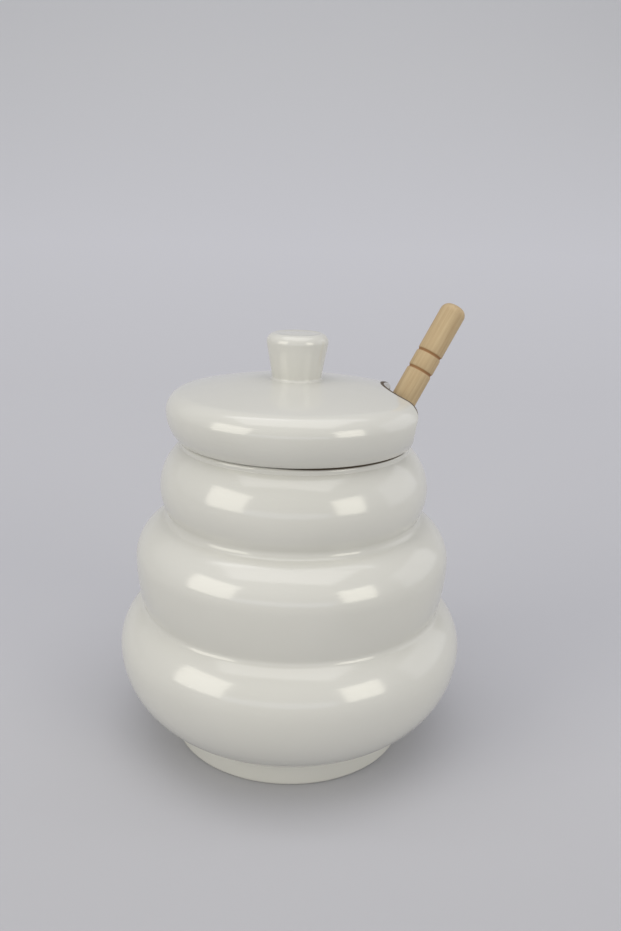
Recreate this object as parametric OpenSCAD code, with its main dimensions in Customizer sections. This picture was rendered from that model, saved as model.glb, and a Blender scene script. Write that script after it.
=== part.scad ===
// Beehive-shaped stoneware honey pot: three stacked bulges on a foot ring, a domed lid with a scallop cut
// through its rim, a flared knob, and a wooden dipper that leans out through the scallop.
// Millimetres. +Z is up, the origin is the centre of the plane the foot ring stands on, and the scallop is
// on the +X side.

/* [Bulges] */

// Widest radius of the lowest bulge
belly_r = 54; // [52:0.5:56]
// Height of the lowest bulge's widest line
belly_z = 31.9; // [31:0.1:33]
// Widest radius of the middle bulge
middle_r = 48.6; // [47.8:0.2:49.4]
// Height of the middle bulge's widest line above the lowest one's
middle_rise = 28.7; // [28:0.1:29.4]
// Widest radius of the top bulge
top_r = 41; // [40:0.2:42]
// Height of the top bulge's widest line above the middle one's
top_rise = 22.1; // [21.6:0.1:22.8]
// How far the lower waist lies inside the middle bulge
lower_waist_in = 2.1; // [1.7:0.1:2.5]
// Height of the lower waist above the lowest bulge's widest line
lower_waist_rise = 13.3; // [12.8:0.1:13.8]
// How far the upper waist lies inside the top bulge
upper_waist_in = 3.4; // [2.8:0.1:4]
// Height of the upper waist above the middle bulge's widest line
upper_waist_rise = 12.5; // [12:0.1:13]
// Thickness of the pot's cast wall
wall = 4.2; // [3.8:0.1:4.6]

/* [Foot] */

// Outer radius of the foot ring
foot_r = 36.9; // [35:0.1:38]
// Width of the foot ring's resting face
foot_width = 5; // [4:0.5:7]
// Depth of the recess inside the foot ring
foot_recess = 4.5; // [4.2:0.1:5]
// Radius on the foot ring's lower edges
foot_edge = 1.2; // [0.6:0.1:1.8]

/* [Mouth] */

// Height of the rim above the top bulge's widest line
rim_rise = 14.3; // [13.8:0.1:14.9]
// How far the rim lies inside the top bulge
rim_in = 6.1; // [5.7:0.1:6.5]
// Width of the rim, from its outside to the mouth
rim_width = 3.8; // [3.6:0.1:4.2]

/* [Lid] */

// Gap between the rim and the lid's seat
seat_gap = 0.2; // [0:0.05:0.3]
// How far the lid's lower edge stands out past the rim
lid_overhang = 0.5; // [0.2:0.1:0.9]
// How far the lid's widest line stands out past its lower edge
lid_bulge = 3.6; // [3.2:0.1:4]
// Height of the lid's widest line above its seat
lid_bulge_h = 8.7; // [8.3:0.1:9.2]
// Height of the lid's top above its seat
lid_h = 18.3; // [17.8:0.1:19]
// Radius of the lid's round shoulder
shoulder_r = 6; // [5.2:0.2:6.6]
// Thickness of the lid
lid_wall = 4; // [3.6:0.1:4.4]
// Clearance between the locating ring and the mouth, on the radius
ring_clearance = 1.1; // [0.8:0.1:1.2]
// Thickness of the locating ring
ring_width = 3; // [2.6:0.1:3.2]
// Depth of the locating ring below the seat
ring_depth = 6; // [4.5:0.25:7]

/* [Scallop] */

// Radius of the scallop cut through the lid's rim
scallop_r = 29; // [26:0.5:32]
// How far the scallop bites in from the lid's widest line
scallop_depth = 11.3; // [10.2:0.1:11.4]
// Slope of the scallop's wall, inwards from top to bottom
scallop_slope = 8.5; // [6:0.5:10]
// Direction of the scallop round the pot, from +X towards +Y
scallop_turn = 6.5; // [5:0.5:8]
// Width of the opening left in the locating ring
ring_gap = 24; // [22:0.5:28]

/* [Knob] */

// Height of the knob above the lid's top
knob_h = 13.6; // [12:0.2:15]
// Radius of the knob's top
knob_top_r = 9.2; // [8.4:0.1:10.5]
// Radius of the knob's neck
knob_neck_r = 7.4; // [6.6:0.1:8]
// Radius on the knob's top edge
knob_edge = 2.4; // [1.6:0.1:3]
// Radius of the fillet round the knob's base
knob_fillet = 1.2; // [0.8:0.1:1.6]

/* [Dipper] */

// Diameter of the handle's dowel
handle_d = 8; // [7.6:0.1:8.2]
// Length of the whole dipper
dipper_length = 143; // [136:1:150]
// Lean of the dipper from upright
lean = 31; // [30.5:0.25:31.5]
// Direction the handle leans to, from +X towards +Y
lean_turn = 24; // [22:1:26]
// Clearance between the handle and the lip of the mouth it leans on
lip_clearance = 0.3; // [0.1:0.05:0.5]
// Direction from the pot's axis to the handle's axis at the rim's height
cross_turn = 3; // [1:0.5:5]
// Clearance between the head's end and the pot's floor
floor_clearance = 0.3; // [0.1:0.1:0.5]
// Length of the head
head_length = 42; // [36:1:44]
// Greatest radius of the head
head_r = 12.5; // [11.5:0.25:13]
// Radius of the head's ends
head_end_r = 9.5; // [8.5:0.25:10.5]
// Radius of the head's core between the rings
head_core_r = 6.6; // [6:0.2:7]
// Number of rings turned on the head
head_rings = 7; // [6:1:7]
// Thickness of one ring
head_ring = 3.4; // [3:0.1:3.6]
// Depth of the bore the handle is glued into
socket_depth = 24; // [16:1:28]
// Gap left for the glue, on the radius
glue_gap = 0.1; // [0.05:0.05:0.15]
// Distance from the handle's tip to the upper burnt line
upper_line = 16.7; // [14:0.1:20]
// Distance between the two burnt lines
line_step = 5.9; // [4:0.1:8]
// Depth of the burnt lines
line_depth = 0.35; // [0.2:0.05:0.5]

/* [Hidden] */

$fn = 96;

glaze = [0.80, 0.79, 0.73];
beech = [0.76, 0.63, 0.47];

// radius of the soft fillet that the glaze leaves in each waist
waist_fillet = 2;
// radius on the rim's edges and the lid's lower edge
lip_edge = 0.9;
// height of the belly's underside, and radius of the arc from the top bulge to the rim
belly_under = 6.1;
top_up = 16.2;
// height of the flange's inner edge above the lid's seat, and the slope in degrees of its top
flange_h = 1.6;
flange_slope = 18;
// radius on the scallop's two corners, and how far each corner's arc would stand out beyond the lid's side
corner_r = 4.6;
corner_over = 0.8;
// bevel on the locating ring's lower edges
ring_bevel = 0.8;
// radius on the head's end and on the handle's tip
head_tip = 3;
handle_tip = 2.6;
// height of a burnt line, and the clearance under the handle's end in its socket
line_h = 0.9;
socket_end = 0.5;
// what a cutter reaches past the face it opens
over = 1;

// radius of the arc that leaves a widest line upright and has come in by run after rising by rise
function arc_r(run, rise) = (rise * rise + run * run) / (2 * run);
// point on the +X side at distance ra from a and rb from b
function meet(a, ra, b, rb) =
  let (d = norm(b - a), u = (b - a) / d, h = (d * d + ra * ra - rb * rb) / (2 * d))
  a + h * u + sqrt(ra * ra - h * h) * [u.y, -u.x];
// point on the way from a to b, at distance r from a
function toward(a, b, r) = a + r * (b - a) / norm(b - a);

middle_z = belly_z + middle_rise;
top_z = middle_z + top_rise;
rim_z = top_z + rim_rise;
lower_waist_r = middle_r - lower_waist_in;
lower_waist_z = belly_z + lower_waist_rise;
upper_waist_r = top_r - upper_waist_in;
upper_waist_z = middle_z + upper_waist_rise;
belly_low = belly_z - belly_under;
belly_up = arc_r(belly_r - lower_waist_r, lower_waist_z - belly_z);
middle_low = arc_r(middle_r - lower_waist_r, middle_z - lower_waist_z);
middle_up = arc_r(middle_r - upper_waist_r, upper_waist_z - middle_z);
top_low = arc_r(top_r - upper_waist_r, top_z - upper_waist_z);
floor_z = belly_under + wall;
foot_top = belly_z - sqrt(pow(belly_low, 2) - pow(foot_r - belly_r + belly_low, 2));
rim_r = top_r - rim_in;
mouth_r = rim_r - rim_width;

lid_z = rim_z + seat_gap;
lid_top = lid_z + lid_h;
lid_edge_r = rim_r + lid_overhang;
lid_r = lid_edge_r + lid_bulge;
lid_low = arc_r(lid_bulge, lid_bulge_h);
shoulder = [lid_r - shoulder_r, lid_z + lid_bulge_h];
// the crown is one shallow dome, flat where the knob stands, which runs tangent into the shoulder
crown_flat = knob_neck_r + knob_fillet + seat_gap;
crown_out = shoulder.x - crown_flat;
crown_h = lid_h - lid_bulge_h;
crown_up = (pow(crown_out, 2) + pow(crown_h, 2) - pow(shoulder_r, 2)) / (2 * (crown_h - shoulder_r));
crown = [crown_flat, lid_top - crown_up];
ring_out = mouth_r - ring_clearance;
ring_in = ring_out - ring_width;

// how far the handle leans in the upright plane through the pot's axis
function lean_across() = atan(tan(lean) * cos(lean_turn - cross_turn));
// the handle leans on the rounded lip of the mouth, which sets where its axis crosses the rim's height
lean_r = mouth_r + lip_edge + lip_edge * tan(lean_across())
  - (handle_d / 2 + lip_edge + lip_clearance) / cos(lean_across());
// the dipper's frame: it crosses the rim's height at lean_at, and its end stands on the floor
lean_at = [lean_r * cos(cross_turn), lean_r * sin(cross_turn), rim_z];
end_z = floor_z + floor_clearance + (head_end_r - head_tip) * sin(lean) + head_tip * (1 - cos(lean));
end_s = (rim_z - end_z) / cos(lean);
head_pitch = (head_length - 2 * head_tip) / (head_rings - 1);

// half a section, above or below the widest line (r, z), bounded by an arc of radius rho thinned by t
module upper_half(r, z, rho, t) {
  intersection() {
    union() {
      translate([r - rho, z]) circle(r = rho - t);
      if (r > rho) translate([0, z - rho + t]) square([r - rho, 2 * (rho - t)]);
    }
    translate([0, z]) square([r, rho]);
  }
}

module lower_half(r, z, rho, t) {
  translate([0, 2 * z]) mirror([0, 1]) upper_half(r, z, rho, t);
}

// the smooth waist between an arc of radius ra round a and one of radius rb round b, thinned by t
module waist(a, ra, b, rb, t) {
  p = meet(a, ra + waist_fillet, b, rb + waist_fillet);
  ta = toward(a, p, ra - t);
  tb = toward(b, p, rb - t);
  difference() {
    polygon([[0, ta.y], ta, p, tb, [0, tb.y]]);
    translate(p) circle(r = waist_fillet + t);
  }
}

// the pot's three bulges and two waists, thinned by t all round
module bulges(t) {
  lower_half(belly_r, belly_z, belly_low, t);
  upper_half(belly_r, belly_z, belly_up, t);
  waist([belly_r - belly_up, belly_z], belly_up, [middle_r - middle_low, middle_z], middle_low, t);
  intersection() {
    lower_half(middle_r, middle_z, middle_low, t);
    translate([0, lower_waist_z]) square([middle_r, middle_z]);
  }
  upper_half(middle_r, middle_z, middle_up, t);
  waist([middle_r - middle_up, middle_z], middle_up, [top_r - top_low, top_z], top_low, t);
  lower_half(top_r, top_z, top_low, t);
  upper_half(top_r, top_z, top_up, t);
}

// cuts a corner at (x, y) to radius r; sx and sy, 1 or -1, say on which side of it the material lies
module round_off(x, y, r, sx, sy) {
  difference() {
    translate([x - (sx > 0 ? over : r), y - (sy > 0 ? over : r)]) square(r + over);
    translate([x + sx * r, y + sy * r]) circle(r = r);
  }
}

// one cast shell: the bulges outside and inside, a foot ring with its recess, and a rim to seat the lid
module pot() {
  foot_in = foot_r - foot_width;
  color(glaze) rotate_extrude() difference() {
    union() {
      bulges(0);
      square([foot_r, foot_top]);
      translate([0, top_z]) square([rim_r, rim_z - top_z]);
    }
    bulges(wall);
    translate([0, top_z]) square([mouth_r, rim_z - top_z + over]);
    translate([0, rim_z]) square([belly_r, belly_r]);
    translate([0, -over]) square([foot_in, foot_recess + over]);
    round_off(foot_in, 0, foot_edge, 1, 1);
    round_off(foot_r, 0, foot_edge, -1, 1);
    round_off(mouth_r, rim_z, lip_edge, 1, -1);
    round_off(rim_r, rim_z, lip_edge, -1, -1);
  }
}

// the lid's section: an outer arc, a round shoulder and a shallow dome over a hollow of even wall,
// with an inward flange whose lower face is the seat
module lid_shell() {
  difference() {
    union() {
      lower_half(lid_r, shoulder.y, lid_low, 0);
      translate([0, shoulder.y]) square([shoulder.x, crown_h / 2]);
      translate(shoulder) circle(r = shoulder_r);
      translate([0, shoulder.y]) square([crown_flat, crown_h]);
      intersection() {
        translate(crown) circle(r = crown_up);
        polygon([[crown.x, shoulder.y], shoulder, toward(crown, shoulder, crown_up + over),
          [crown.x, lid_top + over]]);
      }
    }
    difference() {
      intersection() {
        union() {
          translate([lid_r - lid_low, shoulder.y]) circle(r = lid_low - lid_wall);
          square([lid_r - lid_low, lid_top]);
        }
        union() {
          translate(crown) circle(r = crown_up - lid_wall);
          square([crown_flat, lid_top - lid_wall]);
        }
      }
      polygon([[ring_in, lid_z], [ring_in, lid_z + flange_h],
        [lid_r, lid_z + flange_h + (lid_r - ring_in) * tan(flange_slope)], [lid_r, lid_z]]);
    }
    square([belly_r, lid_z]);
    round_off(lid_edge_r, lid_z, lip_edge, -1, 1);
  }
}

// the ring under the flange that sits inside the mouth
module locating_ring() {
  low = lid_z - ring_depth;
  polygon([[ring_in, low + ring_bevel], [ring_in + ring_bevel, low], [ring_out - ring_bevel, low],
    [ring_out, low + ring_bevel], [ring_out, lid_z + flange_h / 2], [ring_in, lid_z + flange_h / 2]]);
}

// the scallop from above: a round bite, with the corners it would leave on the rim rounded away
module scallop_plan() {
  centre = [lid_r - scallop_depth + scallop_r, 0];
  q = meet([0, 0], lid_r - corner_r + corner_over, centre, scallop_r + corner_r);
  translate(centre) circle(r = scallop_r);
  for (side = [0, 1]) mirror([0, side]) difference() {
    polygon([q, toward([0, 0], q, lid_r + corner_r), centre]);
    translate(q) circle(r = corner_r);
  }
}

// domed cover, open at the scallop, with its flange and locating ring left out there so that the dipper can pass
module lid() {
  color(glaze) difference() {
    union() {
      rotate_extrude() lid_shell();
      rotate_extrude() locating_ring();
    }
    rotate([0, 0, scallop_turn]) translate([0, -ring_gap / 2, lid_z - ring_depth - over])
      cube([lid_r, ring_gap, ring_depth + over + lid_wall]);
    rotate([0, 0, scallop_turn]) translate([0, 0, lid_top]) rotate([0, scallop_slope, 0])
      translate([0, 0, -lid_h - shoulder_r]) linear_extrude(lid_h + 2 * shoulder_r) scallop_plan();
  }
}

// pressed knob luted on the lid: a fillet at its base, a neck that flares upwards and a rounded top
module lid_knob() {
  base_r = knob_neck_r + knob_fillet;
  base_h = knob_fillet + seat_gap;
  top_in = knob_top_r - knob_edge;
  color(glaze) translate([0, 0, lid_top]) rotate_extrude() {
    difference() {
      square([base_r, base_h]);
      translate([base_r, base_h]) circle(r = knob_fillet);
    }
    polygon([[0, base_h / 2], [knob_neck_r, base_h], [knob_top_r, knob_h - knob_edge],
      [0, knob_h - knob_edge]]);
    translate([top_in, knob_h - knob_edge]) circle(r = knob_edge);
    square([top_in, knob_h]);
  }
}

// puts a piece drawn along +Z, with its origin at the dipper's lower end, where the dipper rests
module at_lean() {
  translate(lean_at) rotate([0, lean, lean_turn]) translate([0, 0, -end_s]) children();
}

// plain dowel with a rounded tip and two burnt lines
module dipper_handle() {
  r = handle_d / 2;
  low = head_length - socket_depth + socket_end;
  color(beech) at_lean() rotate_extrude() difference() {
    union() {
      translate([0, low]) square([r, dipper_length - handle_tip - low]);
      translate([0, low]) square([r - handle_tip, dipper_length - low]);
      intersection() {
        translate([r - handle_tip, dipper_length - handle_tip]) circle(r = handle_tip);
        translate([0, low]) square([r, dipper_length]);
      }
    }
    for (d = [upper_line, upper_line + line_step])
      translate([r - line_depth, dipper_length - d - line_h / 2]) square([over, line_h]);
  }
}

// turned head: rings that swell and shrink along a barrel, a rounded end, and a socket for the dowel
module dipper_head() {
  color(beech) at_lean() rotate_extrude() difference() {
    union() {
      square([head_core_r, head_length]);
      square([head_end_r - head_tip, 2 * head_tip]);
      translate([head_end_r - head_tip, head_tip]) circle(r = head_tip);
      for (i = [1 : head_rings - 1]) {
        swell = head_end_r + (head_r - head_end_r) * sin(180 * i / (head_rings - 1));
        edge = head_ring / 2;
        translate([0, 2 * head_tip + i * head_pitch - head_ring]) {
          square([swell - edge, head_ring]);
          translate([swell - edge, edge]) circle(r = edge);
        }
      }
    }
    translate([0, head_length - socket_depth])
      square([handle_d / 2 + glue_gap, socket_depth + over]);
  }
}

pot();
lid();
lid_knob();
dipper_handle();
dipper_head();
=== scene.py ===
import math

import bpy
from mathutils import Matrix, Vector


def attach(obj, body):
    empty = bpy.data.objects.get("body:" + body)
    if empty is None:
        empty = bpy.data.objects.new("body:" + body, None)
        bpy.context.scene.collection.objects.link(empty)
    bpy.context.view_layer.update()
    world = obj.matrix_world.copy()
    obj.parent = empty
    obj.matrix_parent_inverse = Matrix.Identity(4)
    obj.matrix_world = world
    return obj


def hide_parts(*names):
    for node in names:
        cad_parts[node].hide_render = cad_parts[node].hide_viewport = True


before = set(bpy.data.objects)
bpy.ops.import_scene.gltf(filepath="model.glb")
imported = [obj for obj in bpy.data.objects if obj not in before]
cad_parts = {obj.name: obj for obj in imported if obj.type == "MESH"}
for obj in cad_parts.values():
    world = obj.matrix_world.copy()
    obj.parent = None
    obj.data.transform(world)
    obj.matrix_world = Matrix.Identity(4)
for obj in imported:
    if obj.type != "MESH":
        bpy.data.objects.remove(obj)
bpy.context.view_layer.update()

MM = 0.001
POT_STEPS = 192         # steps round the pot
KNOB_STEPS = 96         # steps round the knob
WOOD_STEPS = 96         # steps round the dipper
FULL_TURN = 2 * math.pi


# ------------------------------------------------------------------------------------------- camera
PHOTO_W, PHOTO_H = 621, 931
EYE = Vector((0, -252.567, 160.773)) * MM
LOOK = Vector((0.018256, 0.961021, -0.275872)).normalized()
ROLL = math.radians(1.735)
FOCAL_PX = 850
CENTRE_PX = 0.5         # how far left of the frame's middle the picture's own centre lies


def place_camera():
    """Camera at the photograph's viewing angle: close above the pot, tipped down 16 degrees."""
    lens = bpy.data.cameras.new("camera")
    lens.sensor_fit = "VERTICAL"
    lens.sensor_height = 36
    lens.lens = FOCAL_PX * 36 / PHOTO_H
    lens.shift_x = CENTRE_PX / PHOTO_H
    lens.clip_start, lens.clip_end = 0.01, 20
    camera = bpy.data.objects.new("camera", lens)
    bpy.context.scene.collection.objects.link(camera)
    right = LOOK.cross(Vector((0, 0, 1))).normalized()
    up = right.cross(LOOK)
    rolled_right = math.cos(ROLL) * right + math.sin(ROLL) * up
    rolled_up = math.cos(ROLL) * up - math.sin(ROLL) * right
    axes = Matrix((rolled_right, rolled_up, -LOOK)).transposed()
    camera.matrix_world = Matrix.Translation(EYE) @ axes.to_4x4()
    bpy.context.scene.camera = camera


place_camera()


# ------------------------------------------------------------------------------------- sections, in mm
def arc(centre, radius, start, end, step=2.0):
    """Points on an arc of a section, from one angle to another in degrees, about step mm apart."""
    length = abs(math.radians(end - start)) * radius
    count = max(4, math.ceil(length / step), math.ceil(abs(end - start) / 6))
    angles = [math.radians(start + (end - start) * i / count) for i in range(count + 1)]
    return [(centre[0] + radius * math.cos(a), centre[1] + radius * math.sin(a)) for a in angles]


def line(a, b, step=2.0):
    """Points on a straight stretch of a section, about step mm apart, its ends among them."""
    count = max(1, math.ceil(math.dist(a, b) / step))
    return [(a[0] + (b[0] - a[0]) * i / count, a[1] + (b[1] - a[1]) * i / count)
            for i in range(count + 1)]


def bearing(a, b):
    """Angle of the way from a to b, in degrees from 0 to 360."""
    return math.degrees(math.atan2(b[1] - a[1], b[0] - a[0])) % 360


def signed_bearing(a, b):
    """The same angle from -180 to 180."""
    angle = bearing(a, b)
    return angle - 360 if angle > 180 else angle


def joined(*stretches):
    """One section out of its stretches, without the points they share."""
    points = []
    for stretch in stretches:
        for p in stretch:
            if not points or math.dist(points[-1], p) > 0.02:
                points.append(p)
    return points


# the pot's arcs: centre and radius of each, on the outside of the wall
WALL = 4.2
BELLY_LOW, BELLY_UP = ((28.2, 31.9), 25.8), ((38.46, 31.9), 15.54)
MIDDLE_LOW, MIDDLE_UP = ((-8.9, 60.6), 57.5), ((36.0, 60.6), 12.6)
TOP_LOW, TOP_UP = ((25.75, 82.7), 15.25), ((24.8, 82.7), 16.2)
WAIST = 2.0
FOOT_R, FOOT_IN, FOOT_EDGE, FOOT_FILLET = 36.9, 31.9, 1.2, 1.6
RECESS, RECESS_EDGE = 4.5, 1.5
RIM_R, MOUTH_R, RIM_Z, LIP = 34.9, 31.1, 97.0, 0.9


def between(low, up, radius):
    """Centre of the fillet of that radius which rolls in the waist between two arcs."""
    (a, ra), (b, rb) = low, up
    ra, rb = ra + radius, rb + radius
    d = math.dist(a, b)
    along = (d * d + ra * ra - rb * rb) / (2 * d)
    out = math.sqrt(ra * ra - along * along)
    ux, uy = (b[0] - a[0]) / d, (b[1] - a[1]) / d
    return (a[0] + along * ux + out * uy, a[1] + along * uy - out * ux)


def bulges(t, step):
    """The wall's outline from under the belly to the rim, thinned by t: convex arcs shrink, waists widen."""
    low_waist = between(BELLY_UP, MIDDLE_LOW, WAIST)
    high_waist = between(MIDDLE_UP, TOP_LOW, WAIST)
    return joined(
        arc(BELLY_UP[0], BELLY_UP[1] - t, 0, signed_bearing(BELLY_UP[0], low_waist), step),
        arc(low_waist, WAIST + t, bearing(low_waist, BELLY_UP[0]), bearing(low_waist, MIDDLE_LOW[0]), step),
        arc(MIDDLE_LOW[0], MIDDLE_LOW[1] - t, signed_bearing(MIDDLE_LOW[0], low_waist), 0, step),
        arc(MIDDLE_UP[0], MIDDLE_UP[1] - t, 0, signed_bearing(MIDDLE_UP[0], high_waist), step),
        arc(high_waist, WAIST + t, bearing(high_waist, MIDDLE_UP[0]), bearing(high_waist, TOP_LOW[0]), step),
        arc(TOP_LOW[0], TOP_LOW[1] - t, signed_bearing(TOP_LOW[0], high_waist), 0, step))


def pot_section():
    """Foot, three bulges and rim outside, then the mouth and the same bulges inside, down to the floor."""
    (cx, cz), rho = BELLY_LOW
    foot_x = FOOT_R + FOOT_FILLET
    foot = (foot_x, cz - math.sqrt((rho + FOOT_FILLET) ** 2 - (foot_x - cx) ** 2))
    to_rim = math.degrees(math.acos((RIM_R - TOP_UP[0][0]) / TOP_UP[1]))
    inner = TOP_UP[1] - WALL
    to_mouth = math.degrees(math.acos((MOUTH_R - TOP_UP[0][0]) / inner))
    rim_foot = TOP_UP[0][1] + TOP_UP[1] * math.sin(math.radians(to_rim))
    outside = joined(
        line((0, RECESS), (FOOT_IN - RECESS_EDGE, RECESS), 5),
        arc((FOOT_IN - RECESS_EDGE, RECESS - RECESS_EDGE), RECESS_EDGE, 90, 0, 0.6),
        arc((FOOT_IN + FOOT_EDGE, FOOT_EDGE), FOOT_EDGE, 180, 270, 0.4),
        arc((FOOT_R - FOOT_EDGE, FOOT_EDGE), FOOT_EDGE, -90, 0, 0.4),
        line((FOOT_R, FOOT_EDGE), (FOOT_R, foot[1]), 1.2),
        arc(foot, FOOT_FILLET, 180, bearing(foot, BELLY_LOW[0]), 0.4),
        arc(BELLY_LOW[0], rho, signed_bearing(BELLY_LOW[0], foot), 0, 1.0),
        bulges(0, 1.0),
        arc(TOP_UP[0], TOP_UP[1], 0, to_rim - 0.4, 1.0),
        [(RIM_R, rim_foot), (RIM_R, rim_foot + 0.1)],  # close together, so that the inner corner stays crisp
        arc((RIM_R - LIP, RIM_Z - LIP), LIP, 0, 90, 0.3),
        arc((MOUTH_R + LIP, RIM_Z - LIP), LIP, 90, 180, 0.3),
        line((MOUTH_R, RIM_Z - LIP), (MOUTH_R, TOP_UP[0][1] + inner * math.sin(math.radians(to_mouth)))))
    inside = joined(
        arc(BELLY_LOW[0], rho - WALL, -90, 0, 2.0),
        bulges(WALL, 2.0),
        arc(TOP_UP[0], inner, 0, to_mouth, 1.5))
    floor = line((BELLY_LOW[0][0], cz - rho + WALL), (0, cz - rho + WALL), 5)
    return joined(outside, inside[::-1], floor)


# the lid's arcs, its flat seat with the ring under it, and the knob's measures above the lid's top
SEAT_Z, LID_TOP, LID_R, LID_WALL = 97.2, 115.5, 39.0, 4.0
LID_LOW, SHOULDER = ((26.69, 105.9), 12.31), ((33.0, 105.9), 6.0)
CROWN_R = (SHOULDER[0][0] ** 2 + (LID_TOP - SHOULDER[0][1]) ** 2 - SHOULDER[1] ** 2) \
    / (2 * (LID_TOP - SHOULDER[0][1] - SHOULDER[1]))
CROWN_ANGLE = math.atan2(SHOULDER[0][0], CROWN_R - LID_TOP + SHOULDER[0][1])
CROWN_EDGE_Z = LID_TOP - CROWN_R * (1 - math.cos(CROWN_ANGLE))
RING_IN, RING_OUT, RING_DEPTH, RING_GAP = 27.0, 30.0, 6.0, 24.0
NECK_R, KNOB_R, KNOB_H, KNOB_EDGE, KNOB_FILLET = 7.4, 9.2, 13.6, 2.6, 0.7
KNOB_DOME_R = 62.0      # the slight dome of the knob's top

# the scallop in the lid: a round cutter that leans out, and the corners it leaves rounded
SCALLOP_R, SCALLOP_X, SCALLOP_SLOPE, SCALLOP_TURN = 29.0, 57.0, math.radians(8.5), math.radians(6.5)
CORNER_R, CORNER = 4.6, (29.47, 19.26)
OPENING = 27.5          # half of the turned surface's columns that are cleared for it, in degrees
EASE = 25.0             # how far beside it the columns are drawn along, in degrees
LID_STEPS = 144         # steps round the lid


def lid_section():
    """Dome, round shoulder and outer arc down to the seat, which lies flat as far as the ring."""
    centre = (0, LID_TOP - CROWN_R)
    shoulder, low = SHOULDER, LID_LOW
    edge = math.degrees(math.asin((SEAT_Z - low[0][1]) / low[1]))
    tangent = 90 - math.degrees(CROWN_ANGLE)
    return joined(
        arc(centre, CROWN_R, 90, tangent, 2.9),
        arc(shoulder[0], shoulder[1], tangent, 0, 1.5),
        arc(low[0], low[1], 0, edge, 1.6),
        line((low[0][0] + low[1] * math.cos(math.radians(edge)), SEAT_Z), (RING_IN, SEAT_Z), 2.1))


def cut_away(r, turned, z):
    """Whether the scallop takes a point of the lid, given by its radius, its angle in degrees and its height."""
    x = r * math.cos(math.radians(turned)) * math.cos(SCALLOP_SLOPE) - (z - LID_TOP) * math.sin(SCALLOP_SLOPE)
    y = r * math.sin(math.radians(turned))
    if math.dist((x, y), (SCALLOP_X, 0)) < SCALLOP_R:
        return True
    inward = CORNER[0] * y - CORNER[1] * x < 0
    outward = (SCALLOP_X - CORNER[0]) * (y - CORNER[1]) + CORNER[1] * (x - CORNER[0]) > 0
    return inward and outward and math.dist((x, y), CORNER) > CORNER_R


def turning_point(is_in, low, high):
    """The value between low and high at which is_in, true at low, stops being true."""
    for _ in range(30):
        middle = (low + high) / 2
        low, high = (middle, high) if is_in(middle) else (low, middle)
    return low


def edge_angle(r, z):
    """How far from the opening's middle its edge crosses the circle of radius r at height z."""
    return turning_point(lambda turned: cut_away(r, turned, z), 0, 45)


def on_crown(reach):
    """Radius and height of the dome at a length along it from its middle."""
    angle = reach / CROWN_R
    return CROWN_R * math.sin(angle), LID_TOP - CROWN_R * (1 - math.cos(angle))


def crown_reach(turned):
    """How far along the dome the opening's edge lies at an angle from the opening's middle."""
    return turning_point(lambda reach: not cut_away(on_crown(reach)[0], turned, on_crown(reach)[1]),
                         0, CROWN_R * CROWN_ANGLE)


def crown_edge_points(count=120):
    """The opening's edge across the dome: angle, reach along the dome, and length along the edge."""
    last = edge_angle(*on_crown(CROWN_R * CROWN_ANGLE))
    points, length, before = [], 0.0, None
    for i in range(count + 1):
        turned = last * math.sin(math.pi / 2 * i / count)
        reach = crown_reach(turned)
        r, z = on_crown(reach)
        here = (r * math.cos(math.radians(turned)), r * math.sin(math.radians(turned)), z)
        length += math.dist(here, before) if before else 0.0
        before = here
        points.append((turned, reach, length))
    return points


def at_length(points, length):
    """Angle and reach of the edge at a length along it."""
    for (a0, r0, l0), (a1, r1, l1) in zip(points, points[1:]):
        if length <= l1:
            share = (length - l0) / (l1 - l0)
            return a0 + (a1 - a0) * share, r0 + (r1 - r0) * share
    return points[-1][:2]


def knob_section():
    """Fillet on the lid, a neck that flares upwards, and a rounded top."""
    base_r = NECK_R + KNOB_FILLET
    start = LID_TOP - 0.4     # a little inside the lid, as the knob is luted on
    flare = math.degrees(math.atan2(KNOB_R - NECK_R, KNOB_H - KNOB_EDGE - 2))
    return joined(
        line((0, start), (base_r, start), 3),
        arc((base_r, LID_TOP + KNOB_FILLET - 0.1), KNOB_FILLET, 270, 180 - flare, 0.3),
        arc((KNOB_R - KNOB_EDGE, LID_TOP + KNOB_H - KNOB_EDGE), KNOB_EDGE, -flare, 84, 0.4),
        arc((0, LID_TOP + KNOB_H - KNOB_DOME_R), KNOB_DOME_R, 84.2, 90, 2.0))


# ------------------------------------------------------------------------------------- turned pieces
def start_piece(name):
    """A new piece, open in edit mode as one point on the axis."""
    bpy.ops.object.select_all(action="DESELECT")
    bpy.ops.mesh.primitive_plane_add(size=2 * MM)
    piece = bpy.context.object
    piece.name = piece.data.name = name
    bpy.ops.object.mode_set(mode="EDIT")
    bpy.ops.mesh.select_all(action="SELECT")
    bpy.ops.mesh.merge(type="CENTER")
    return piece


def turn(name, section, steps):
    """Turns a section round the upright axis: a point is extruded along it, and the line is spun."""
    piece = start_piece(name)
    here = Vector((0, 0, 0))
    for index, (r, z) in enumerate(section):
        there = Vector((r, 0, z)) * MM
        if index == 0:
            bpy.ops.transform.translate(value=there - here)
        else:
            bpy.ops.mesh.extrude_region_move(TRANSFORM_OT_translate={"value": there - here})
        here = there
    bpy.ops.mesh.select_all(action="SELECT")
    bpy.ops.mesh.spin(steps=steps, angle=FULL_TURN, center=(0, 0, 0), axis=(0, 0, 1))
    bpy.ops.mesh.select_all(action="SELECT")
    bpy.ops.mesh.remove_doubles(threshold=0.002 * MM)
    bpy.ops.mesh.normals_make_consistent(inside=False)
    bpy.ops.object.mode_set(mode="OBJECT")
    bpy.ops.object.shade_smooth()
    return piece


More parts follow.
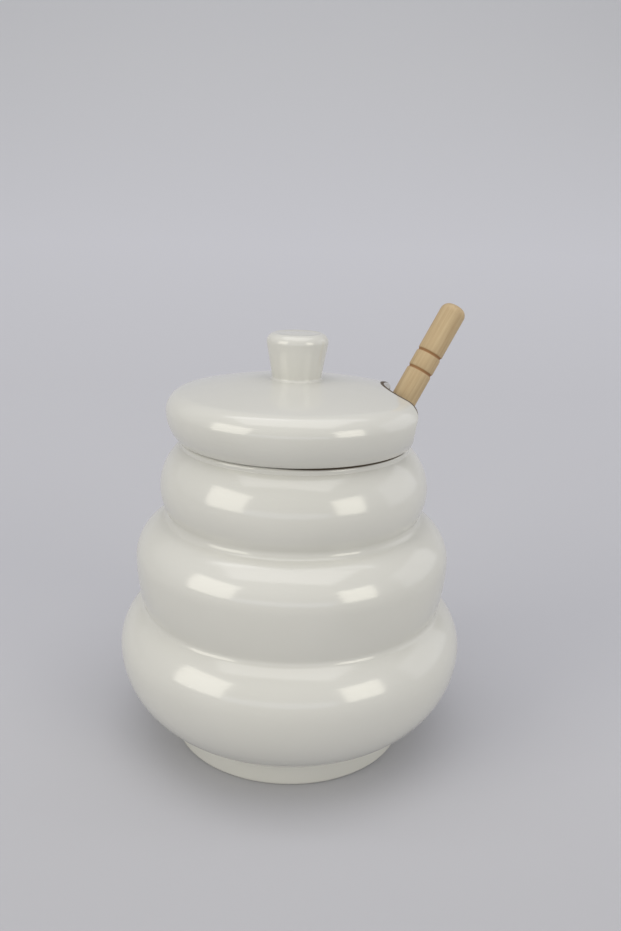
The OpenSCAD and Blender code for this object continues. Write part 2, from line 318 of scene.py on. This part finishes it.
def soften(piece, width, angle, levels):
    """Rounds the edges that turn by more than angle, then smooths the whole piece."""
    rounded = piece.modifiers.new("soft edges", "BEVEL")
    rounded.width, rounded.segments, rounded.limit_method = width * MM, 3, "ANGLE"
    rounded.angle_limit, rounded.use_clamp_overlap = math.radians(angle), False
    smoothed = piece.modifiers.new("smooth", "SUBSURF")
    smoothed.levels = smoothed.render_levels = levels
    for modifier in (rounded.name, smoothed.name):
        bpy.ops.object.modifier_apply(modifier=modifier)


def clear_opening(piece):
    """Deletes the turned faces from the shoulder down to the seat, as wide as the scallop."""
    bpy.ops.object.mode_set(mode="EDIT")
    bpy.ops.mesh.select_all(action="DESELECT")
    bpy.ops.mesh.select_mode(type="FACE")
    bpy.ops.object.mode_set(mode="OBJECT")
    for face in piece.data.polygons:
        x, y, z = face.center / MM
        face.select = abs(math.degrees(math.atan2(y, x))) < OPENING and z < CROWN_EDGE_Z
    bpy.ops.object.mode_set(mode="EDIT")
    bpy.ops.mesh.delete(type="FACE")
    bpy.ops.mesh.select_mode(type="VERT")
    bpy.ops.object.mode_set(mode="OBJECT")


def draw_edge_in(piece):
    """Moves the points round the cleared place until its edge lies on the scallop, and eases those beside it."""
    edge = crown_edge_points()
    corner, crown_length = edge[-1][0], CROWN_R * CROWN_ANGLE
    for vertex in piece.data.vertices:
        x, y, z = vertex.co / MM
        r, turned = math.hypot(x, y), math.degrees(math.atan2(y, x))
        side, turned = math.copysign(1, turned), abs(turned)
        if r < 0.1 or turned > OPENING + EASE:
            continue
        beside = min(1, max(0, (turned - OPENING) / EASE))
        pull = 1 - beside * beside * (3 - 2 * beside)
        if z > CROWN_EDGE_Z - 0.001:
            reach = CROWN_R * math.asin(r / CROWN_R)
            share = reach / crown_length
            if turned < OPENING:
                to_angle, to_reach = at_length(edge, edge[-1][2] * turned / OPENING)
                turned += (to_angle - turned) * share ** 2
                r, z = on_crown(reach - (crown_length - to_reach) * share ** 1.5)
            else:
                turned += (corner - OPENING) * pull * share ** 2
        else:
            turned += (edge_angle(r, z) - OPENING) * pull
        angle = side * math.radians(turned)
        vertex.co = Vector((r * math.cos(angle), r * math.sin(angle), z)) * MM


def make_lid():
    """The lid: its outer skin is turned, opened at the scallop, given an even wall and softened at the edges."""
    cover = turn("lid_cover", lid_section(), LID_STEPS)
    clear_opening(cover)
    draw_edge_in(cover)
    walled = cover.modifiers.new("wall", "SOLIDIFY")
    walled.thickness, walled.offset, walled.use_even_offset = LID_WALL * MM, -1, True
    bpy.ops.object.modifier_apply(modifier=walled.name)
    soften(cover, 0.75, 35, 1)
    ring = make_ring()
    cover.select_set(True)
    bpy.context.view_layer.objects.active = cover
    bpy.ops.object.join()
    cover.data.transform(Matrix.Rotation(SCALLOP_TURN, 4, "Z"))
    bpy.ops.object.shade_smooth()
    return cover


def make_ring():
    """The ring under the seat: a rectangle spun most of the way round, left out at the scallop."""
    half_gap = math.asin(RING_GAP / 2 / RING_OUT)
    bpy.ops.object.select_all(action="DESELECT")
    bpy.ops.mesh.primitive_plane_add(size=1)
    ring = bpy.context.object
    ring.name = ring.data.name = "ring"
    bpy.ops.object.mode_set(mode="EDIT")
    bpy.ops.mesh.select_all(action="SELECT")
    bpy.ops.transform.rotate(value=math.pi / 2, orient_axis="X", center_override=(0, 0, 0))
    bpy.ops.transform.resize(value=((RING_OUT - RING_IN) * MM, 1, (RING_DEPTH + 1) * MM), center_override=(0, 0, 0))
    bpy.ops.transform.translate(value=((RING_IN + RING_OUT) / 2 * MM, 0, (SEAT_Z + 1 - (RING_DEPTH + 1) / 2) * MM))
    bpy.ops.transform.rotate(value=-half_gap, orient_axis="Z", center_override=(0, 0, 0))
    bpy.ops.mesh.extrude_region_move()
    bpy.ops.mesh.spin(steps=90, angle=FULL_TURN - 2 * half_gap, center=(0, 0, 0), axis=(0, 0, 1))
    bpy.ops.mesh.select_all(action="SELECT")
    bpy.ops.mesh.remove_doubles(threshold=0.002 * MM)
    bpy.ops.mesh.normals_make_consistent(inside=False)
    bpy.ops.object.mode_set(mode="OBJECT")
    soften(ring, 0.7, 35, 1)
    return ring


# the dipper: its lean and where its axis crosses the mouth, then the dowel and the head along that axis
LEAN, LEAN_TURN, CROSS_TURN = math.radians(31), math.radians(24), math.radians(3)
CROSS_R, CROSS_AT = 26.54, 96.39
DIPPER = (Matrix.Translation(Vector((CROSS_R * math.cos(CROSS_TURN), CROSS_R * math.sin(CROSS_TURN), RIM_Z)) * MM)
          @ Matrix.Rotation(LEAN_TURN, 4, "Z") @ Matrix.Rotation(LEAN, 4, "Y")
          @ Matrix.Translation(Vector((0, 0, -CROSS_AT)) * MM))
HANDLE_R, DIPPER_LENGTH, HANDLE_TIP, HANDLE_DOME_R = 4.0, 143.0, 2.6, 22.0
SOCKET_DEPTH, HANDLE_IN_SOCKET = 24.0, 23.5
HEAD_LENGTH, HEAD_R, HEAD_END_R, CORE_R, HEAD_TIP = 42.0, 12.5, 9.5, 6.6, 3.0
RINGS, RING = 7, 3.4
BURNT_LINES = (22.6, 16.7)      # how far below the top end of the dowel


def handle_section():
    """Dowel with a rounded tip and two burnt lines, each a shallow groove with soft lips."""
    low, tip = HEAD_LENGTH - HANDLE_IN_SOCKET, HANDLE_TIP
    r, top = HANDLE_R, DIPPER_LENGTH
    points = [(0, low), (r - 0.4, low), (r, low + 0.4)]
    for mark in BURNT_LINES:
        z = top - mark
        points += line(points[-1], (r, z - 0.75), 3.0)
        points += [(r - 0.05, z - 0.55), (r - 0.26, z - 0.3), (r - 0.35, z), (r - 0.26, z + 0.3),
                   (r - 0.05, z + 0.55), (r, z + 0.75)]
    points += line(points[-1], (r, top - tip), 3.0)
    points += arc((r - tip, top - tip), tip, 0, 84, 0.35)
    points += arc((0, top - HANDLE_DOME_R), HANDLE_DOME_R, 86.5, 90, 0.8)
    return joined(points)


def head_section():
    """Rounded end, rings that swell and shrink along a barrel, and the socket for the dowel."""
    pitch = (HEAD_LENGTH - 2 * HEAD_TIP) / (RINGS - 1)
    edge = RING / 2
    points = line((0, 0), (HEAD_END_R - HEAD_TIP, 0), 2)
    points += arc((HEAD_END_R - HEAD_TIP, HEAD_TIP), HEAD_TIP, -90, 90, 0.6)
    for i in range(1, RINGS):
        swell = HEAD_END_R + (HEAD_R - HEAD_END_R) * math.sin(math.pi * i / (RINGS - 1))
        z = 2 * HEAD_TIP + i * pitch - edge
        points += line((CORE_R, points[-1][1]), (CORE_R, z - edge), 1.0)
        points += arc((swell - edge, z), edge, -90, 90, 0.4)
    socket_r, socket_end = HANDLE_R + 0.1, HEAD_LENGTH - SOCKET_DEPTH
    points += [(CORE_R, points[-1][1]), (CORE_R, HEAD_LENGTH), (socket_r, HEAD_LENGTH)]
    points += line((socket_r, HEAD_LENGTH), (socket_r, socket_end), 4)
    points += [(0, socket_end)]
    return joined(points)


pot = turn("pot_shell", pot_section(), POT_STEPS)
cover = make_lid()
knob = turn("knob", knob_section(), KNOB_STEPS)
handle = turn("handle", handle_section(), WOOD_STEPS)
head = turn("head", head_section(), WOOD_STEPS)
for piece in (handle, head):
    piece.data.transform(DIPPER)


# --------------------------------------------------------------------------------------- materials
def tint(code):
    """sRGB hex to the linear colour that a shader takes."""
    channels = [int(code[i:i + 2], 16) / 255 for i in (1, 3, 5)]
    return tuple(c / 12.92 if c <= 0.04045 else ((c + 0.055) / 1.055) ** 2.4 for c in channels) + (1,)


def add(tree, kind, links=None, values=None, **settings):
    """Adds a node: settings are its own properties, values its sockets', links its incoming wires."""
    node = tree.nodes.new(kind)
    for name, value in settings.items():
        setattr(node, name, value)
    for name, value in (values or {}).items():
        node.inputs[name].default_value = value
    for name, source in (links or {}).items():
        tree.links.new(source, node.inputs[name])
    return node


def new_material(name):
    """An empty material and its tree."""
    material = bpy.data.materials.new(name)
    material.use_nodes = True
    material.node_tree.nodes.clear()
    return material, material.node_tree


def finish_material(tree, shader):
    """Makes a shader the material's surface."""
    add(tree, "ShaderNodeOutputMaterial", {"Surface": shader.outputs["BSDF"]})


def mask(tree, value, start, end):
    """0 where a socket in metres is at start, 1 at end; start and end in mm."""
    return add(tree, "ShaderNodeMapRange", {"Value": value},
               {"From Min": start * MM, "From Max": end * MM}).outputs["Result"]


def number(tree, operation, *values):
    """The outcome of a sum with sockets or plain numbers."""
    node = add(tree, "ShaderNodeMath", operation=operation)
    for place, value in zip(node.inputs, values):
        if isinstance(value, (int, float)):
            place.default_value = value
        else:
            tree.links.new(value, place)
    return node.outputs["Value"]


# painted shade, in mm: the middle of the dark line along the seam that stands for the shadow in the gap, its least
# and greatest half width, and the dark band at the cut
SEAM_Z, SEAM_SHADOW_THIN, SEAM_SHADOW_MORE = SEAT_Z - 0.1, 0.02, 0.4
SEAM_SHADOW_WIDE_TOWARD = math.radians(-52)
SCALLOP_SHADOW_MIDDLE, SCALLOP_SHADOW_LOW = SCALLOP_R + 1.0, -16.0


def painted_seam_shadow(tree, parts):
    """Painted shadow along the seam between lid and pot, drawn in dark clay colour: a hairline, wider at the right
    of the front.
    """
    toward = number(tree, "ADD", number(tree, "MULTIPLY", parts.outputs["X"], math.cos(SEAM_SHADOW_WIDE_TOWARD)),
                    number(tree, "MULTIPLY", parts.outputs["Y"], math.sin(SEAM_SHADOW_WIDE_TOWARD)))
    half_width = number(tree, "MULTIPLY_ADD", mask(tree, toward, 21.0, 31.0), SEAM_SHADOW_MORE * MM, SEAM_SHADOW_THIN * MM)
    off = number(tree, "ABSOLUTE", number(tree, "SUBTRACT", parts.outputs["Z"], SEAM_Z * MM))
    return mask(tree, number(tree, "SUBTRACT", off, half_width), 0.12, -0.12)


def painted_scallop_shadow(tree, place):
    """Painted shadow at the scallop's edge, where the opening lies in shade: a narrow dark band round the top of
    the cut.
    """
    turned = add(tree, "ShaderNodeMapping", {"Vector": place}, vector_type="TEXTURE")
    turned.inputs["Location"].default_value = (0, 0, LID_TOP * MM)
    turned.inputs["Rotation"].default_value = (Matrix.Rotation(SCALLOP_TURN, 3, "Z")
                                               @ Matrix.Rotation(SCALLOP_SLOPE, 3, "Y")).to_euler()
    parts = add(tree, "ShaderNodeSeparateXYZ", {"Vector": turned.outputs["Vector"]})
    across = number(tree, "SUBTRACT", parts.outputs["X"], SCALLOP_X * MM)
    plan = add(tree, "ShaderNodeCombineXYZ", {"X": across, "Y": parts.outputs["Y"]})
    away = add(tree, "ShaderNodeVectorMath", operation="LENGTH")
    tree.links.new(plan.outputs["Vector"], away.inputs[0])
    off = number(tree, "ABSOLUTE", number(tree, "SUBTRACT", away.outputs["Value"], SCALLOP_SHADOW_MIDDLE * MM))
    above = mask(tree, parts.outputs["Z"], SCALLOP_SHADOW_LOW - 1, SCALLOP_SHADOW_LOW)
    return number(tree, "MULTIPLY", mask(tree, off, 0.75, 0.45), above)


def cream_glaze(name, scalloped=False):
    """Stoneware under a glossy cream glaze, dipped and fired: a thick wet-looking skin, a little uneven."""
    material, tree = new_material(name)
    place = add(tree, "ShaderNodeTexCoord").outputs["Object"]
    clouds = add(tree, "ShaderNodeTexNoise", {"Vector": place}, {"Scale": 28.0, "Detail": 2.0, "Roughness": 0.5})
    glaze = add(tree, "ShaderNodeMix", {"Factor": clouds.outputs["Fac"]}, data_type="RGBA")
    glaze.inputs["A"].default_value = tint("#C5C4BC")
    glaze.inputs["B"].default_value = tint("#CBCAC4")
    ripple = add(tree, "ShaderNodeTexNoise", {"Vector": place}, {"Scale": 60.0, "Detail": 1.0, "Roughness": 0.4})
    bump = add(tree, "ShaderNodeBump", {"Height": ripple.outputs["Fac"]}, {"Strength": 0.25, "Distance": 0.0004})
    shader = add(tree, "ShaderNodeBsdfPrincipled",
                 {"Base Color": glaze.outputs["Result"], "Normal": bump.outputs["Normal"]},
                 {"Roughness": 0.14, "IOR": 1.6})
    # painted shade: a dark clay colour laid on the seam line and round the scallop's edge in place of the shadow
    # there
    painted_shade_clay = add(tree, "ShaderNodeBsdfPrincipled", values={"Roughness": 0.85, "Base Color": tint("#564A3B")})
    parts = add(tree, "ShaderNodeSeparateXYZ", {"Vector": place})
    painted_shade_mask = painted_seam_shadow(tree, parts)
    if scalloped:
        painted_shade_mask = number(tree, "MAXIMUM", painted_shade_mask, painted_scallop_shadow(tree, place))
    glaze_and_painted_shade = add(tree, "ShaderNodeMixShader", {"Fac": painted_shade_mask})
    tree.links.new(shader.outputs["BSDF"], glaze_and_painted_shade.inputs[1])
    tree.links.new(painted_shade_clay.outputs["BSDF"], glaze_and_painted_shade.inputs[2])
    add(tree, "ShaderNodeOutputMaterial", {"Surface": glaze_and_painted_shade.outputs["Shader"]})
    return material


def beech_wood():
    """Turned beech, sanded and left bare: pale tan, short darker flecks along the grain, two burnt lines."""
    material, tree = new_material("beech")
    place = add(tree, "ShaderNodeTexCoord").outputs["Object"]
    along = add(tree, "ShaderNodeMapping", {"Vector": place}, vector_type="TEXTURE")
    along.inputs["Location"].default_value = DIPPER.to_translation()
    along.inputs["Rotation"].default_value = DIPPER.to_euler()
    stretched = add(tree, "ShaderNodeMapping", {"Vector": along.outputs["Vector"]})
    stretched.inputs["Scale"].default_value = (1, 1, 0.05)
    grain = add(tree, "ShaderNodeTexNoise", {"Vector": stretched.outputs["Vector"]},
                {"Scale": 1100.0, "Detail": 4.0, "Roughness": 0.55})
    ramp = add(tree, "ShaderNodeValToRGB", {"Fac": grain.outputs["Fac"]})
    ramp.color_ramp.elements[0].position, ramp.color_ramp.elements[0].color = 0.25, tint("#A58D69")
    ramp.color_ramp.elements[1].position, ramp.color_ramp.elements[1].color = 0.75, tint("#BCA783")
    far = add(tree, "ShaderNodeSeparateXYZ", {"Vector": along.outputs["Vector"]}).outputs["Z"]
    marks = [mask(tree, number(tree, "ABSOLUTE", number(tree, "SUBTRACT", far, (DIPPER_LENGTH - line_at) * MM)),
                  0.55, 0.3) for line_at in BURNT_LINES]
    burnt = number(tree, "MAXIMUM", *marks)
    colour = add(tree, "ShaderNodeMix", {"Factor": burnt, "A": ramp.outputs["Color"]}, data_type="RGBA")
    colour.inputs["B"].default_value = tint("#8A643C")
    bump = add(tree, "ShaderNodeBump", {"Height": grain.outputs["Fac"]}, {"Strength": 0.2, "Distance": 0.0001})
    shader = add(tree, "ShaderNodeBsdfPrincipled",
                 {"Base Color": colour.outputs["Result"], "Normal": bump.outputs["Normal"]},
                 {"Roughness": 0.6, "IOR": 1.45})
    finish_material(tree, shader)
    return material


glaze, lid_glaze, beech = cream_glaze("cream_glaze"), cream_glaze("cream_glaze_lid", scalloped=True), beech_wood()
for piece, finish in ((pot, glaze), (cover, lid_glaze), (knob, glaze), (handle, beech), (head, beech)):
    piece.data.materials.clear()
    piece.data.materials.append(finish)


# ----------------------------------------------------------------------------------- floor and light
PAPER_W, PAPER_FRONT, PAPER_BEND, PAPER_CURVE_R = 5.0, -1.6, 0.12, 2.0     # metres
# the paper's colour by depth: painted light and shade, darker at the front and lighter up the curve behind, in
# place of the light's fall-off
PAPER_SHADE_TONES = [(0.03, "#AEAEB2"), (0.11, "#B9B9BD"), (0.36, "#C2C2C6"), (0.57, "#CFCFD3"), (0.86, "#D2D2D3")]


def sweep():
    """Pale paper sweep: it lies flat under the pot and curves up behind it, its colour painted darker toward the
    front and lighter up the curve as light and shade.
    """
    bpy.ops.object.select_all(action="DESELECT")
    bpy.ops.mesh.primitive_plane_add(size=1)
    paper = bpy.context.object
    paper.name = "paper_sweep"
    bpy.ops.object.mode_set(mode="EDIT")
    bpy.ops.mesh.select_all(action="SELECT")
    bpy.ops.mesh.merge(type="CENTER")
    half, front = PAPER_W / 2, PAPER_FRONT
    here = Vector((-half, front, 0))
    bpy.ops.transform.translate(value=here)
    curve = [(PAPER_BEND + PAPER_CURVE_R * math.sin(a), PAPER_CURVE_R - PAPER_CURVE_R * math.cos(a))
             for a in (math.radians(2 * i) for i in range(1, 42))]
    for y, z in [(PAPER_BEND, 0)] + curve:
        there = Vector((-half, y, z))
        bpy.ops.mesh.extrude_region_move(TRANSFORM_OT_translate={"value": there - here})
        here = there
    bpy.ops.mesh.select_all(action="SELECT")
    bpy.ops.mesh.extrude_region_move(TRANSFORM_OT_translate={"value": (PAPER_W, 0, 0)})
    bpy.ops.object.mode_set(mode="OBJECT")
    bpy.ops.object.shade_smooth()
    material, tree = new_material("pale_paper")
    place = add(tree, "ShaderNodeTexCoord").outputs["Object"]
    depth = add(tree, "ShaderNodeSeparateXYZ", {"Vector": place}).outputs["Y"]
    share = add(tree, "ShaderNodeMapRange", {"Value": depth}, {"From Min": -0.2, "From Max": 1.6})
    # painted light and shade: the colour runs from the darker front to the lighter back
    floor_light_and_shade = add(tree, "ShaderNodeValToRGB", {"Fac": share.outputs["Result"]})
    for _ in PAPER_SHADE_TONES[2:]:
        floor_light_and_shade.color_ramp.elements.new(0.5)
    for element, (position, colour) in zip(floor_light_and_shade.color_ramp.elements, PAPER_SHADE_TONES):
        element.position, element.color = position, tint(colour)
    shader = add(tree, "ShaderNodeBsdfPrincipled", {"Base Color": floor_light_and_shade.outputs["Color"]}, {"Roughness": 0.9})
    finish_material(tree, shader)
    paper.data.materials.append(material)
    return paper


def soft_light(name, place, aim, width, height, power, colour):
    """An even rectangle of light at a place, facing a point; metres."""
    lamp = bpy.data.lights.new(name, "AREA")
    lamp.shape, lamp.size, lamp.size_y = "RECTANGLE", width, height
    lamp.energy, lamp.color = power, tint(colour)[:3]
    light = bpy.data.objects.new(name, lamp)
    bpy.context.scene.collection.objects.link(light)
    light.location = place
    light.rotation_euler = (Vector(place) - Vector(aim)).to_track_quat("Z", "Y").to_euler()


def from_pot(azimuth, elevation, distance):
    """The place in a direction seen from the pot, where azimuth 0 is the camera's side."""
    a, e = math.radians(azimuth), math.radians(elevation)
    return POT_MIDDLE + distance * Vector((math.sin(a) * math.cos(e), -math.cos(a) * math.cos(e), math.sin(e)))


POT_MIDDLE = Vector((0, 0, 0.06))
soft_light("left_window", from_pot(-57, 18, 1.0), POT_MIDDLE, 0.62, 0.6, 3.8, "#FFFBEC")
soft_light("right_window", from_pot(47, 16, 1.0), POT_MIDDLE, 0.45, 0.5, 2.6, "#FFFBEA")
soft_light("low_fill", from_pot(-5, 4, 1.1), POT_MIDDLE, 1.5, 0.2, 0.85, "#E6ECFF")
soft_light("right_wall", from_pot(105, 15, 1.2), POT_MIDDLE, 1.0, 0.8, 1.6, "#FBFBFF")
soft_light("ceiling", from_pot(-10, 76, 1.1), POT_MIDDLE, 1.3, 0.8, 4.6, "#FFFDFC")
soft_light("backdrop_light", (0, 0.3, 1.8), (0, 1.5, 0.5), 2.4, 0.5, 5.0, "#FCFCFF")
world = bpy.data.worlds.new("room")
bpy.context.scene.world = world
world.use_nodes = True
room_light = world.node_tree.nodes["Background"].inputs
room_light["Color"].default_value, room_light["Strength"].default_value = tint("#EBECF2"), 0.6
bpy.context.scene.view_settings.view_transform = "Standard"


# ------------------------------------------------------------------------------------- paper and bodies
paper = sweep()
for piece, body, node, slot in ((pot, "pot", "pot", "cream_glaze"), (cover, "lid", "lid", "cream_glaze"),
                                (knob, "lid", "lid_knob", "cream_glaze"),
                                (handle, "dipper", "dipper_handle", "beech"),
                                (head, "dipper", "dipper_head", "beech")):
    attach(piece, body)
    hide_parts(node)
